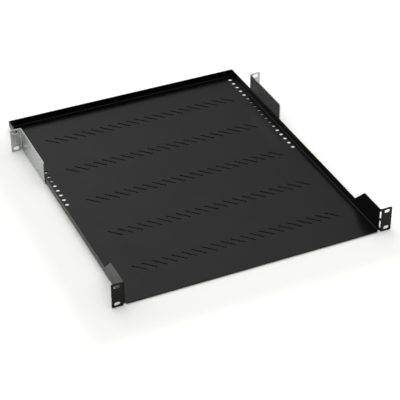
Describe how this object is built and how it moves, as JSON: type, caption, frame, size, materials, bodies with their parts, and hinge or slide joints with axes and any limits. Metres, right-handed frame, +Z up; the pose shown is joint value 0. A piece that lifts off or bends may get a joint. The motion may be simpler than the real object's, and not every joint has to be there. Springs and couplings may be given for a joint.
{
  "type": "vented rack shelf",
  "caption": "One-unit 19 inch rack shelf: a shallow folded steel tray with slanted floor vents, front mounting ears and two rear mounting brackets.",
  "frame": {"origin": "middle of the footprint, on the surface the shelf stands on, level with the bottom of the four ears", "axes": "+X to the right seen from the front of the rack, +Y into the rack from the front ears to the rear wall, +Z up"},
  "size_m": [0.4826, 0.55, 0.044],
  "materials": {
    "black_powder_coat": "satin fine-texture black powder coat on steel",
    "galvanised_steel": "plain galvanised steel sheet, dull grey"
  },
  "bodies": {
    "root": {"shelf_tray": "black_powder_coat", "rear_bracket_left": "galvanised_steel", "rear_bracket_right": "galvanised_steel"}
  },
  "joints": []
}
